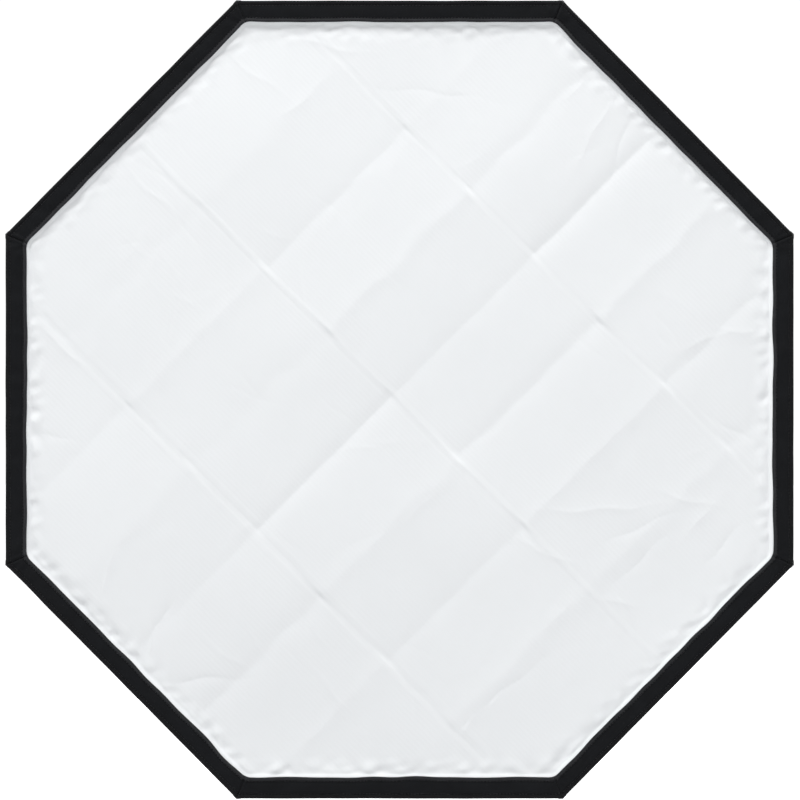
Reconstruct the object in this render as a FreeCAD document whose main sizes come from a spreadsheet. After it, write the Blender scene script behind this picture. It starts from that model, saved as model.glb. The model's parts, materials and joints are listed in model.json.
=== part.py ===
"""Folding octagonal studio softbox, 1.2 m across flats, for an S-type lamp bayonet.

The lamp's face is the plane y = 0 and the light leaves towards -Y, with +Z up.
Eight ribs are hinged in a ring that turns on the bayonet insert. Each rib carries
its own corner of the cloth: the two half panels beside it and its corner of the lip.
"""
import FreeCAD, Part
import math
import os
import Sketcher

SIDES = 8
STEP = 360 / SIDES
HALF = STEP / 2
QUARTER = STEP / 4
Y_AXIS = FreeCAD.Vector(0, 1, 0)
Z_AXIS = FreeCAD.Vector(0, 0, 1)

SIZES = {
    # whole object
    "across_flats": 1200,
    "front_depth": 430,
    # cloth
    "cloth_thickness": 0.8,
    "cloth_gap": 0.3,
    "cover_rear_apothem": 100,
    "cover_rear_depth": 15.5,
    "cover_lead": 10.5784,
    "lip_width": 30,
    "lip_thickness": 1,
    "diffuser_inset": 5,
    "diffuser_thickness": 0.6,
    "tape_width": 22,
    "tape_thickness": 0.8,
    "baffle_across_flats": 700,
    "baffle_depth": 270,
    "baffle_thickness": 0.5,
    "strap_overlap": 18,
    "strap_gap": 5,
    "strap_width": 20,
    "strap_thickness": 1,
    # ribs
    "rod_diameter": 6,
    "rib_lead": 8.5,
    "tip_inset": 21.5,
    "tip_setback": 13,
    "cap_diameter": 9,
    "cap_length": 22,
    "cap_nose": 4,
    "cap_clearance": 0.15,
    "foot_width": 12,
    "foot_length": 40,
    "knuckle_radius": 6,
    "socket_depth": 20,
    "socket_clearance": 0.05,
    "hinge_radius": 86,
    "hinge_depth": 14,
    "pin_diameter": 4,
    "pin_length": 24,
    "pin_clearance": 0.05,
    # bayonet insert
    "bore_diameter": 84,
    "spigot_diameter": 92,
    "spigot_length": 9,
    "lug_circle": 100,
    "lug_thickness": 4,
    "lug_angle": 28,
    "neck_diameter": 120,
    "neck_depth": 6,
    "insert_flange_diameter": 132,
    "insert_flange_thickness": 6.2,
    # turning ring
    "running_gap": 0.3,
    "rear_gap": 1,
    "housing_depth": 22,
    "housing_margin": 12,
    "slot_clearance": 0.2,
    "knuckle_clearance": 0.4,
    "slot_inner_gap": 2,
    "slot_wall": 2,
    "edge_chamfer": 1.2,
    # catches
    "catch_ring_bore": 100,
    "catch_ring_thickness": 7.7,
    "catch_channel_floor": 1.7,
    "catch_width": 7.6,
    "catch_thickness": 3.6,
    "catch_length": 17.6,
    "catch_clearance": 0.2,
    "catch_travel": 4.5,
    "catch_nose_gap": 0.4,
    "tab_length": 4,
    "tab_height": 6,
    # fasteners and lock
    "ring_screw_diameter": 3,
    "ring_screw_length": 14,
    "ring_screw_circle": 142,
    "ring_screw_head_diameter": 5.5,
    "ring_screw_head_height": 2,
    "lock_screw_diameter": 5,
    "lock_screw_clearance": 0.1,
    "lock_tip_gap": 0.25,
    "knob_diameter": 20,
    "knob_length": 16,
    "knob_start_radius": 110,
    "knob_flutes": 6,
    "flute_diameter": 6,
    "knob_thread_depth": 10,
    # collar
    "collar_gap": 0.3,
    "collar_front": 12.5,
    "collar_width": 10,
}

# Formulas shared by several pieces.
APOTHEM = "(Size.across_flats / 2)"
TIP_RADIUS = f"({APOTHEM} / cos(22.5deg) - Size.tip_inset)"
TIP_DEPTH = "(Size.front_depth - Size.tip_setback)"
RIB_RUN = f"({TIP_RADIUS} - Size.hinge_radius)"
RIB_RISE = f"({TIP_DEPTH} - Size.hinge_depth)"
SET_ANGLE = f"(atan({RIB_RUN} / {RIB_RISE}) + Size.rib_lead * 1deg)"
TIP_ALONG = f"({RIB_RUN} * sin({SET_ANGLE}) + {RIB_RISE} * cos({SET_ANGLE}))"
TIP_ACROSS = f"({RIB_RUN} * cos({SET_ANGLE}) - {RIB_RISE} * sin({SET_ANGLE}))"
ARC_RUN = f"({TIP_ALONG} - Size.foot_length)"
ROD_TURN = f"(2 * atan(-{TIP_ACROSS} / {ARC_RUN}))"
ROD_RADIUS = f"({ARC_RUN} / sin({ROD_TURN}))"
LIP_BACK = "(Size.front_depth - Size.lip_thickness)"
TAPE_FRONT = f"({LIP_BACK} - Size.cloth_gap)"
DIFFUSER_FRONT = f"({TAPE_FRONT} - Size.tape_thickness)"
DIFFUSER_APOTHEM = f"({APOTHEM} - Size.diffuser_inset)"
COVER_FRONT = f"({LIP_BACK} - Size.cloth_gap - Size.cloth_thickness)"
LEDGE = "(Size.neck_depth + Size.insert_flange_thickness + Size.running_gap)"
HOUSING_RADIUS = "(Size.hinge_radius + Size.housing_margin)"
SLOT_INNER = "(Size.hinge_radius - Size.knuckle_radius - Size.slot_inner_gap)"
RING_POCKET = f"({SLOT_INNER} - Size.slot_wall)"
RING_RADIUS = f"({RING_POCKET} - Size.running_gap)"
SLOT_WIDTH = "(Size.foot_width + 2 * Size.slot_clearance)"
SLOT_FLOOR = "(Size.hinge_depth - Size.knuckle_radius - Size.knuckle_clearance)"
FLANGE_RADIUS = "(Size.insert_flange_diameter / 2)"
CHANNEL_REAR = f"({LEDGE} + Size.catch_channel_floor)"
CHANNEL_DEPTH = "(Size.catch_thickness + 2 * Size.catch_clearance)"
CHANNEL_WIDTH = "(Size.catch_width + 2 * Size.catch_clearance)"
CATCH_NOSE = "(Size.hinge_radius - Size.knuckle_radius - Size.catch_nose_gap)"
CATCH_TAIL = f"({CATCH_NOSE} - Size.catch_length)"
RING_FRONT = f"({LEDGE} + Size.catch_ring_thickness)"
LOCK_DEPTH = "(Size.neck_depth + Size.insert_flange_thickness / 2)"


def write_sizes(doc):
    """The driving dimensions, one row each, in millimetres or degrees."""
    sheet = doc.addObject("Spreadsheet::Sheet", "Size")
    for row, (name, value) in enumerate(SIZES.items(), start=1):
        sheet.set(f"A{row}", name)
        sheet.set(f"B{row}", str(value))
        sheet.setAlias(f"B{row}", name)
    doc.recompute()
    return sheet


def new_body(doc, label, placement=FreeCAD.Placement()):
    body = doc.addObject("PartDesign::Body", label)
    body.Label = label
    body.Placement = placement
    return body


def turned(azimuth):
    """A frame turned about the lamp's axis, so that its X points along the azimuth."""
    return FreeCAD.Placement(FreeCAD.Vector(), FreeCAD.Rotation(Y_AXIS, -azimuth))


def new_sketch(body, plane, height=None, azimuth=0):
    """A sketch on one of the body's own planes, turned about Y or raised by a formula."""
    sketch = body.newObject("Sketcher::SketchObject", "Sketch")
    support = next(f for f in body.Origin.OriginFeatures if f.Role == plane)
    sketch.AttachmentSupport = [(support, "")]
    sketch.MapMode = "FlatFace"
    if azimuth:
        sketch.AttachmentOffset = turned(azimuth)
    if height:
        sketch.setExpression("AttachmentOffset.Base.z", height)
    return sketch


def pin_point(sketch, element, point, across, up):
    """Place one point of a sketch element by two formulas; "0" keeps it on an axis."""
    now = sketch.getPoint(element, point)
    for kind, formula, axis, value in (
        ("DistanceX", across, -2, now.x),
        ("DistanceY", up, -1, now.y),
    ):
        if formula == "0":
            sketch.addConstraint(Sketcher.Constraint("PointOnObject", element, point, axis))
            continue
        held = Sketcher.Constraint(kind, -1, 1, element, point, value)
        number = sketch.addConstraint(held)
        sketch.setExpression(f"Constraints[{number}]", formula)


def add_outline(sketch, corners):
    """A closed outline of straight edges through corners given as pairs of formulas."""
    first = sketch.GeometryCount
    count = len(corners)
    turns = [2 * math.pi * (n + 0.1) / count for n in range(count)]
    ring = [FreeCAD.Vector(math.cos(turn), math.sin(turn), 0) for turn in turns]
    for n in range(count):
        sketch.addGeometry(Part.LineSegment(ring[n], ring[(n + 1) % count]))
    for n in range(count):
        here = first + n
        after = first + (n + 1) % count
        sketch.addConstraint(Sketcher.Constraint("Coincident", here, 2, after, 1))
    for n, (across, up) in enumerate(corners):
        pin_point(sketch, first + n, 1, across, up)


def add_circle(sketch, across, up, diameter):
    circle = Part.Circle(FreeCAD.Vector(1, 1, 0), Z_AXIS, 1)
    number = sketch.addGeometry(circle)
    pin_point(sketch, number, 3, across, up)
    size = sketch.addConstraint(Sketcher.Constraint("Diameter", number, 2.0))
    sketch.setExpression(f"Constraints[{size}]", diameter)


def rectangle(low_x, high_x, low_y, high_y):
    return [(low_x, low_y), (high_x, low_y), (high_x, high_y), (low_x, high_y)]


def octagon(apothem):
    """Corners of a regular octagon with flats facing up, down and sideways."""
    corners = []
    for n in range(SIDES):
        angle = f"{HALF + STEP * n}deg"
        corners.append(
            (
                f"{apothem} / cos(22.5deg) * cos({angle})",
                f"{apothem} / cos(22.5deg) * sin({angle})",
            )
        )
    return corners


def add_feature(body, kind, sketch, length=None, symmetric=False, reverse=False):
    feature = body.newObject(f"PartDesign::{kind}", kind)
    feature.Profile = sketch
    feature.Reversed = reverse
    if symmetric:
        feature.SideType = "Symmetric"
    if length:
        feature.setExpression("Length", length)
    return feature


def add_revolution(body, kind, sketch, axis="V_Axis"):
    feature = body.newObject(f"PartDesign::{kind}", kind)
    feature.Profile = sketch
    feature.ReferenceAxis = (sketch, [axis])
    feature.Angle = 360
    return feature


def repeat_round(body, originals, axis_sketch, count=SIDES, axis="V_Axis"):
    """Repeat features round the lamp's axis, as the sketch names it."""
    pattern = body.newObject("PartDesign::PolarPattern", "PolarPattern")
    pattern.Originals = originals
    pattern.Axis = (axis_sketch, [axis])
    pattern.Angle = 360
    pattern.Occurrences = count
    body.Tip = pattern
    return pattern


# ---------------------------------------------------------------- bayonet insert


def make_bayonet_ring(doc):
    """The insert that locks in the lamp: spigot with three lugs, neck and turning flange."""
    body = new_body(doc, "bayonet_ring", turned(HALF))
    bore = "Size.bore_diameter / 2"
    flange_front = "-(Size.neck_depth + Size.insert_flange_thickness)"
    profile = new_sketch(body, "XY_Plane")
    add_outline(
        profile,
        [
            (bore, "Size.spigot_length"),
            ("Size.spigot_diameter / 2", "Size.spigot_length"),
            ("Size.spigot_diameter / 2", "0"),
            ("Size.neck_diameter / 2", "0"),
            ("Size.neck_diameter / 2", "-Size.neck_depth"),
            (FLANGE_RADIUS, "-Size.neck_depth"),
            (FLANGE_RADIUS, flange_front),
            (bore, flange_front),
        ],
    )
    add_revolution(body, "Revolution", profile)
    lug = new_sketch(body, "XZ_Plane", height="-Size.spigot_length")
    half_angle = "Size.lug_angle * 0.5deg"
    lug_face = [("Size.spigot_diameter / 2 - 1", f"-sin({half_angle}) * Size.spigot_diameter / 2")]
    lug_face.append(("Size.lug_circle / 2", lug_face[0][1]))
    lug_face.append(("Size.lug_circle / 2", f"sin({half_angle}) * Size.spigot_diameter / 2"))
    lug_face.append((lug_face[0][0], lug_face[2][1]))
    add_outline(lug, lug_face)
    pad = add_feature(body, "Pad", lug, length="Size.lug_thickness")
    repeat_round(body, [pad], profile, count=3)
    return body


# ---------------------------------------------------------------- turning ring


def make_housing(doc):
    """The turning ring: eight rib slots, the insert's seat and the lock screw's hole.

    Its own X axis is the lock screw's direction, half way between two ribs.
    """
    body = new_body(doc, "speedring_housing", turned(-90))
    neck = "(Size.neck_diameter / 2 + Size.running_gap)"
    flange = f"({FLANGE_RADIUS} + Size.running_gap)"
    shoulder = "-(Size.neck_depth - Size.running_gap)"
    profile = new_sketch(body, "XY_Plane")
    add_outline(
        profile,
        [
            (neck, "-Size.rear_gap"),
            (f"{HOUSING_RADIUS} - Size.edge_chamfer", "-Size.rear_gap"),
            (HOUSING_RADIUS, "-(Size.rear_gap + Size.edge_chamfer)"),
            (HOUSING_RADIUS, "-(Size.housing_depth - Size.edge_chamfer)"),
            (f"{HOUSING_RADIUS} - Size.edge_chamfer", "-Size.housing_depth"),
            (RING_POCKET, "-Size.housing_depth"),
            (RING_POCKET, f"-{LEDGE}"),
            (flange, f"-{LEDGE}"),
            (flange, shoulder),
            (neck, shoulder),
        ],
    )
    add_revolution(body, "Revolution", profile)
    slot = new_sketch(body, "XY_Plane", azimuth=HALF)
    beyond = f"({HOUSING_RADIUS} + 5)"
    add_outline(slot, rectangle(SLOT_INNER, beyond, "-(Size.housing_depth + 5)", f"-{SLOT_FLOOR}"))
    slot_cut = add_feature(body, "Pocket", slot, length=SLOT_WIDTH, symmetric=True)
    pin_hole = new_sketch(body, "XY_Plane", azimuth=HALF)
    hole_size = "Size.pin_diameter + 2 * Size.pin_clearance"
    add_circle(pin_hole, "Size.hinge_radius", "-Size.hinge_depth", hole_size)
    pin_cut = add_feature(body, "Pocket", pin_hole, length="Size.pin_length + 0.4", symmetric=True)
    window = new_sketch(body, "XY_Plane", azimuth=HALF)
    window_sides = rectangle(
        f"{RING_POCKET} - 1",
        f"{SLOT_INNER} + 1",
        f"-({CHANNEL_REAR} + {CHANNEL_DEPTH})",
        f"-{CHANNEL_REAR}",
    )
    add_outline(window, window_sides)
    window_cut = add_feature(body, "Pocket", window, length=CHANNEL_WIDTH, symmetric=True)
    screw_hole = new_sketch(body, "XZ_Plane", height=LEDGE)
    hole_place = screw_place(HALF + QUARTER)
    add_circle(screw_hole, *hole_place, "Size.ring_screw_diameter")
    screw_length = "Size.ring_screw_length - Size.catch_ring_thickness + 0.5"
    screw_cut = add_feature(body, "Pocket", screw_hole, length=screw_length)
    repeat_round(body, [slot_cut, pin_cut, window_cut, screw_cut], profile)
    lock_hole = new_sketch(body, "YZ_Plane")
    lock_size = "Size.lock_screw_diameter + 2 * Size.lock_screw_clearance"
    add_circle(lock_hole, f"-{LOCK_DEPTH}", "0", lock_size)
    lock_cut = add_feature(body, "Pocket", lock_hole, length=f"{HOUSING_RADIUS} + 5", reverse=True)
    body.Tip = lock_cut
    return body


def make_hinge_pins(doc):
    """Eight steel pins on which the rib feet turn."""
    body = new_body(doc, "hinge_pins", turned(HALF))
    section = new_sketch(body, "XY_Plane")
    add_circle(section, "Size.hinge_radius", "-Size.hinge_depth", "Size.pin_diameter")
    pad = add_feature(body, "Pad", section, length="Size.pin_length", symmetric=True)
    repeat_round(body, [pad], section)
    return body


def screw_place(azimuth):
    """Where a ring screw stands on the plane across the axis, clear of ribs and lock screw."""
    circle = "Size.ring_screw_circle / 2"
    return f"{circle} * cos({azimuth}deg)", f"{circle} * sin({azimuth}deg)"


def make_catch_ring(doc):
    """The ring that traps the insert's flange and guides the eight catches."""
    body = new_body(doc, "catch_ring", turned(HALF))
    bore = "Size.catch_ring_bore / 2"
    profile = new_sketch(body, "XY_Plane")
    add_outline(profile, rectangle(bore, RING_RADIUS, f"-{RING_FRONT}", f"-{LEDGE}"))
    add_revolution(body, "Revolution", profile)
    tab_end = f"({CATCH_TAIL} - Size.catch_travel - Size.catch_clearance - 1)"
    channel = new_sketch(body, "XY_Plane")
    channel_sides = rectangle(
        tab_end,
        f"{RING_RADIUS} + 1",
        f"-({CHANNEL_REAR} + {CHANNEL_DEPTH})",
        f"-{CHANNEL_REAR}",
    )
    add_outline(channel, channel_sides)
    channel_cut = add_feature(body, "Pocket", channel, length=CHANNEL_WIDTH, symmetric=True)
    window = new_sketch(body, "XY_Plane")
    window_end = f"({CATCH_TAIL} + Size.tab_length + 2)"
    window_front = f"-({RING_FRONT} + 1)"
    add_outline(window, rectangle(tab_end, window_end, window_front, f"-({CHANNEL_REAR} + 1)"))
    window_cut = add_feature(body, "Pocket", window, length=CHANNEL_WIDTH, symmetric=True)
    hole = new_sketch(body, "XZ_Plane", height=LEDGE)
    add_circle(hole, *screw_place(QUARTER), "Size.ring_screw_diameter + 0.4")
    through = "Size.catch_ring_thickness + 2"
    hole_cut = add_feature(body, "Pocket", hole, length=through, reverse=True)
    repeat_round(body, [channel_cut, window_cut, hole_cut], profile)
    return body


def make_ring_screws(doc):
    """Eight pan-head screws through the catch ring into the housing's ledge."""
    body = new_body(doc, "ring_screws", turned(HALF + QUARTER))
    profile = new_sketch(body, "XY_Plane")
    centre = "Size.ring_screw_circle / 2"
    shank = f"({centre} + Size.ring_screw_diameter / 2)"
    head = f"({centre} + Size.ring_screw_head_diameter / 2)"
    head_front = f"-({RING_FRONT} + Size.ring_screw_head_height)"
    add_outline(
        profile,
        [
            (centre, f"-({RING_FRONT} - Size.ring_screw_length)"),
            (shank, f"-({RING_FRONT} - Size.ring_screw_length)"),
            (shank, f"-{RING_FRONT}"),
            (head, f"-{RING_FRONT}"),
            (head, head_front),
            (centre, head_front),
        ],
    )
    screw = body.newObject("PartDesign::Revolution", "Revolution")
    screw.Profile = profile
    screw.ReferenceAxis = (profile, ["Edge6"])
    screw.Angle = 360
    repeat_round(body, [screw], profile)
    return body


def make_collar(doc):
    """The cloth collar drawn round the outside of the housing."""
    body = new_body(doc, "rear_collar", turned(-90))
    inner = f"({HOUSING_RADIUS} + Size.collar_gap)"
    outer = f"({inner} + Size.cloth_thickness)"
    rear = "-(Size.collar_front - Size.collar_width)"
    profile = new_sketch(body, "XY_Plane")
    add_outline(profile, rectangle(inner, outer, "-Size.collar_front", rear))
    add_revolution(body, "Revolution", profile)
    hole = new_sketch(body, "YZ_Plane")
    add_circle(hole, f"-{LOCK_DEPTH}", "0", "Size.lock_screw_diameter + 1")
    add_feature(body, "Pocket", hole, length=f"{outer} + 5", reverse=True)
    return body


# ---------------------------------------------------------------- catches and lock


def make_catch(doc, number, azimuth):
    """A sprung slide whose nose stands beside the rib's knuckle, with a thumb tab."""
    body = new_body(doc, f"rib_catch_{number}", turned(azimuth))
    rear = f"-({CHANNEL_REAR} + Size.catch_clearance)"
    front = f"-({CHANNEL_REAR} + Size.catch_clearance + Size.catch_thickness)"
    tab_front = f"-({RING_FRONT} + Size.tab_height)"
    tab_top = f"({CATCH_TAIL} + Size.tab_length)"
    profile = new_sketch(body, "XY_Plane")
    add_outline(
        profile,
        [
            (CATCH_TAIL, rear),
            (CATCH_NOSE, rear),
            (CATCH_NOSE, front),
            (tab_top, front),
            (tab_top, tab_front),
            (CATCH_TAIL, tab_front),
        ],
    )
    add_feature(body, "Pad", profile, length="Size.catch_width", symmetric=True)
    return body


def make_lock_screw(doc):
    """The screw that presses on the insert's flange and stops the ring turning."""
    body = new_body(doc, "lock_screw", turned(-90))
    profile = new_sketch(body, "YZ_Plane", height=f"{FLANGE_RADIUS} + Size.lock_tip_gap")
    add_circle(profile, f"-{LOCK_DEPTH}", "0", "Size.lock_screw_diameter")
    length = f"Size.knob_start_radius + Size.knob_thread_depth - {FLANGE_RADIUS} - Size.lock_tip_gap"
    add_feature(body, "Pad", profile, length=length)
    return body


def make_lock_knob(doc):
    """The fluted knob moulded round the lock screw's outer end."""
    body = new_body(doc, "lock_knob", turned(-90))
    body.setExpression("Placement.Base.y", f"-{LOCK_DEPTH}")
    disc = new_sketch(body, "YZ_Plane", height="Size.knob_start_radius")
    add_circle(disc, "0", "0", "Size.knob_diameter")
    add_feature(body, "Pad", disc, length="Size.knob_length")
    flute = new_sketch(body, "YZ_Plane", height="Size.knob_start_radius")
    add_circle(flute, "0", "Size.knob_diameter / 2 + Size.flute_diameter / 4", "Size.flute_diameter")
    cut = add_feature(body, "Pocket", flute, length="Size.knob_length", reverse=True)
    pattern = body.newObject("PartDesign::PolarPattern", "PolarPattern")
    pattern.Originals = [cut]
    pattern.Axis = (disc, ["N_Axis"])
    pattern.Angle = 360
    pattern.setExpression("Occurrences", "Size.knob_flutes")
    body.Tip = pattern
    socket = new_sketch(body, "YZ_Plane", height="Size.knob_start_radius")
    add_circle(socket, "0", "0", "Size.lock_screw_diameter")
    hole = add_feature(body, "Pocket", socket, length="Size.knob_thread_depth", reverse=True)
    body.Tip = hole
    return body


# ---------------------------------------------------------------- ribs


def place_on_hinge(body, azimuth):
    """Put a rib piece's origin on its hinge pin, with X pointing away from the lamp's axis."""
    body.Placement = turned(azimuth)
    body.setExpression("Placement.Base.x", f"Size.hinge_radius * cos({azimuth}deg)")
    body.setExpression("Placement.Base.y", "-Size.hinge_depth")
    body.setExpression("Placement.Base.z", f"Size.hinge_radius * sin({azimuth}deg)")


def rib_sketch(body, angle=f"90deg - {SET_ANGLE}"):
    """A sketch through the hinge pin whose X runs along the open foot, below the radius."""
    sketch = new_sketch(body, "XY_Plane")
    sketch.AttachmentOffset = FreeCAD.Placement(
        FreeCAD.Vector(), FreeCAD.Rotation(FreeCAD.Vector(0, 0, -1), 1)
    )
    sketch.setExpression("AttachmentOffset.Rotation.Angle", angle)
    return sketch


def make_foot(doc, number, azimuth):
    """The rib's moulded foot: round knuckle on the pin, socket for the rod."""
    body = new_body(doc, f"rib_foot_{number}")
    place_on_hinge(body, azimuth)
    radius = "Size.knuckle_radius"
    knuckle = rib_sketch(body)
    add_circle(knuckle, "0", "0", f"2 * {radius}")
    add_feature(body, "Pad", knuckle, length="Size.foot_width", symmetric=True)
    shank = rib_sketch(body)
    add_outline(shank, rectangle("0", "Size.foot_length", f"-{radius}", radius))
    add_feature(body, "Pad", shank, length="Size.foot_width", symmetric=True)
    hole = rib_sketch(body)
    add_circle(hole, "0", "0", "Size.pin_diameter + 2 * Size.pin_clearance")
    add_feature(body, "Pocket", hole, length="Size.foot_width + 2", symmetric=True)
    socket = rib_sketch(body)
    wall = "Size.rod_diameter / 2 + Size.socket_clearance"
    floor = "Size.foot_length - Size.socket_depth"
    add_outline(socket, rectangle(floor, "Size.foot_length", "0", wall))
    body.Tip = add_revolution(body, "Groove", socket, axis="H_Axis")
    return body


def make_rod(doc, number, azimuth):
    """The sprung steel rod: straight in its socket, then one shallow arc to the tip."""
    body = new_body(doc, f"rib_rod_{number}")
    place_on_hinge(body, azimuth)
    path = rib_sketch(body)
    path.addGeometry(Part.LineSegment(FreeCAD.Vector(20, 0, 0), FreeCAD.Vector(40, 0, 0)))
    bend = Part.Circle(FreeCAD.Vector(40, -2000, 0), Z_AXIS, 2000)
    path.addGeometry(Part.ArcOfCircle(bend, math.pi / 2 - 0.3, math.pi / 2))
    path.addConstraint(Sketcher.Constraint("Tangent", 0, 2, 1, 2))
    start = "(Size.foot_length - Size.socket_depth + Size.socket_clearance)"
    pin_point(path, 0, 1, start, "0")
    pin_point(path, 0, 2, "Size.foot_length", "0")
    pin_point(path, 1, 1, TIP_ALONG, TIP_ACROSS)
    section = body.newObject("Sketcher::SketchObject", "Sketch")
    section.AttachmentSupport = [(path, "Edge1")]
    section.MapMode = "NormalToEdge"
    add_circle(section, "0", "0", "Size.rod_diameter")
    pipe = body.newObject("PartDesign::AdditivePipe", "AdditivePipe")
    pipe.Profile = section
    pipe.Spine = path
    body.Tip = pipe
    return body


def make_tip_cap(doc, number, azimuth):
    """The blunt cap on the rod's end, which stands in the cloth's corner pocket."""
    body = new_body(doc, f"rib_tip_cap_{number}")
    place_on_hinge(body, azimuth)
    profile = rib_sketch(body, angle=f"90deg - {SET_ANGLE} + {ROD_TURN}")
    profile.setExpression("AttachmentOffset.Base.x", RIB_RUN)
    profile.setExpression("AttachmentOffset.Base.y", f"-{RIB_RISE}")
    inner = "(Size.rod_diameter / 2 + Size.cap_clearance)"
    outer = "(Size.cap_diameter / 2)"
    add_outline(
        profile,
        [
            ("-(Size.cap_length - Size.cap_nose)", inner),
            ("-(Size.cap_length - Size.cap_nose)", outer),
            ("Size.cap_nose / 2", outer),
            ("Size.cap_nose", f"{outer} / 2"),
            ("Size.cap_nose", "0"),
            ("Size.cap_clearance", "0"),
            ("Size.cap_clearance", inner),
        ],
    )
    add_revolution(body, "Revolution", profile, axis="H_Axis")
    return body


# ---------------------------------------------------------------- cloth


def make_cover(doc, size):
    """The cover's eight gores, each folded along its own rib.

    A flat panel spans two ribs, so a gore is the near half of the panel on each side.
    """
    rear = FreeCAD.Vector(size.cover_rear_apothem, -size.cover_rear_depth, 0)
    front = FreeCAD.Vector(size.across_flats / 2, -size.front_depth, 0)
    chord = front - rear
    sagitta = chord.Length / 2 * math.tan(math.radians(size.cover_lead) / 2)
    bow = FreeCAD.Vector(-chord.y, chord.x, 0) * (sagitta / chord.Length)
    thickness = FreeCAD.Vector(0, -size.cloth_thickness, 0)
    profile = doc.addObject("Sketcher::SketchObject", "panel_profile")
    profile.Placement = turned(HALF)
    middle = (rear + front) / 2 + bow
    profile.addGeometry(Part.Arc(front, middle, rear))
    profile.addGeometry(Part.Arc(front + thickness, middle + thickness, rear + thickness))
    profile.addGeometry(Part.LineSegment(front, front + thickness))
    profile.addGeometry(Part.LineSegment(rear, rear + thickness))
    joins = [(0, 1, 2, 1), (1, 1, 2, 2), (0, 2, 3, 1), (1, 2, 3, 2), (0, 3, 1, 3)]
    for first, first_end, second, second_end in joins:
        join = Sketcher.Constraint("Coincident", first, first_end, second, second_end)
        profile.addConstraint(join)
    for edge in (2, 3):
        profile.addConstraint(Sketcher.Constraint("PointOnObject", 0, 3, edge))
    pin_point(profile, 0, 1, APOTHEM, f"-{COVER_FRONT}")
    pin_point(profile, 0, 2, "Size.cover_rear_apothem", "-Size.cover_rear_depth")
    run = f"({APOTHEM} - Size.cover_rear_apothem)"
    rise = f"({COVER_FRONT} - Size.cover_rear_depth)"
    radius = f"(sqrt({run} ^ 2 + {rise} ^ 2) / (2 * sin(Size.cover_lead * 1deg)))"
    for arc, formula in ((0, radius), (1, f"{radius} - Size.cloth_thickness")):
        number = profile.addConstraint(Sketcher.Constraint("Radius", arc, 1700.0))
        profile.setExpression(f"Constraints[{number}]", formula)
    panel = doc.addObject("Part::Extrusion", "panel")
    panel.Base = profile
    panel.DirMode = "Normal"
    panel.Symmetric = True
    panel.Solid = True
    panel.setExpression("LengthFwd", "Size.across_flats / 2")

    sector = doc.addObject("Sketcher::SketchObject", "sector_profile")
    sector.Placement = FreeCAD.Placement(
        FreeCAD.Vector(0, 0, 0), FreeCAD.Rotation(FreeCAD.Vector(1, 0, 0), 90)
    )
    seam = "Size.cloth_gap / 2 / cos(22.5deg)"
    far = "Size.across_flats"
    corners = [("1", "0"), (far, "0"), (far, f"{far} * tan(22.5deg) - {seam}")]
    corners.append(("1", f"tan(22.5deg) - {seam}"))
    add_outline(sector, corners)
    half_sector = doc.addObject("Part::Extrusion", "sector")
    half_sector.Base = sector
    half_sector.DirMode = "Normal"
    half_sector.Solid = True
    half_sector.setExpression("LengthFwd", "Size.front_depth")

    half = doc.addObject("Part::Common", "half_gore")
    half.Base = panel
    half.Tool = half_sector
    other_half = doc.addObject("Part::Mirroring", "other_half_gore")
    other_half.Source = half
    other_half.Normal = Z_AXIS
    gores = []
    for number in range(1, SIDES + 1):
        gore = doc.addObject("Part::Fuse", f"cover_gore_{number}")
        gore.Base = half
        gore.Tool = other_half
        gore.Placement = turned(rib_azimuth(number))
        gores.append(gore)
    return gores


def make_lip(doc, number, azimuth):
    """One corner of the black lip that frames the light, from mid side to mid side."""
    body = new_body(doc, f"front_lip_{number}", turned(azimuth))
    sketch = new_sketch(body, "XZ_Plane", height=LIP_BACK)
    inner = f"({APOTHEM} - Size.lip_width)"
    gap = "Size.cloth_gap / 2"

    def side_middle(apothem, side):
        across = f"{apothem} * cos(22.5deg) + {gap} * sin(22.5deg)"
        up = f"{side} * ({apothem} * sin(22.5deg) - {gap} * cos(22.5deg))"
        return across, up

    add_outline(
        sketch,
        [
            (f"{APOTHEM} / cos(22.5deg)", "0"),
            side_middle(APOTHEM, 1),
            side_middle(inner, 1),
            (f"{inner} / cos(22.5deg)", "0"),
            side_middle(inner, -1),
            side_middle(APOTHEM, -1),
        ],
    )
    add_feature(body, "Pad", sketch, length="Size.lip_thickness")
    return body


def make_sheet(doc, label, outline, depth, thickness, hole=None):
    """A flat sheet across the light, whose front face stands at the given depth."""
    body = new_body(doc, label)
    sketch = new_sketch(body, "XZ_Plane", height=f"{depth} - {thickness}")
    add_outline(sketch, outline)
    if hole:
        add_outline(sketch, hole)
    add_feature(body, "Pad", sketch, length=thickness)
    return body


def make_straps(doc):
    """Eight elastic straps from the baffle's corners out to the ribs."""
    foot_r = f"Size.foot_length * sin({SET_ANGLE})"
    foot_y = f"Size.foot_length * cos({SET_ANGLE})"
    centre_r = f"(Size.hinge_radius + {foot_r} - {ROD_RADIUS} * cos({SET_ANGLE}))"
    centre_y = f"(Size.hinge_depth + {foot_y} + {ROD_RADIUS} * sin({SET_ANGLE}))"
    rib_here = f"({centre_r} + sqrt({ROD_RADIUS} ^ 2 - ({centre_y} - Size.baffle_depth) ^ 2))"
    corner = "Size.baffle_across_flats / 2 / cos(22.5deg)"
    body = new_body(doc, "baffle_straps", turned(HALF))
    rear = "Size.baffle_depth - Size.baffle_thickness - Size.strap_thickness"
    sketch = new_sketch(body, "XZ_Plane", height=rear)
    outer_end = f"{rib_here} - Size.rod_diameter / 2 - Size.strap_gap"
    half = "Size.strap_width / 2"
    add_outline(sketch, rectangle(f"{corner} - Size.strap_overlap", outer_end, f"-{half}", half))
    pad = add_feature(body, "Pad", sketch, length="Size.strap_thickness")
    repeat_round(body, [pad], sketch, axis="N_Axis")
    return body


# ---------------------------------------------------------------- the whole


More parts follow.
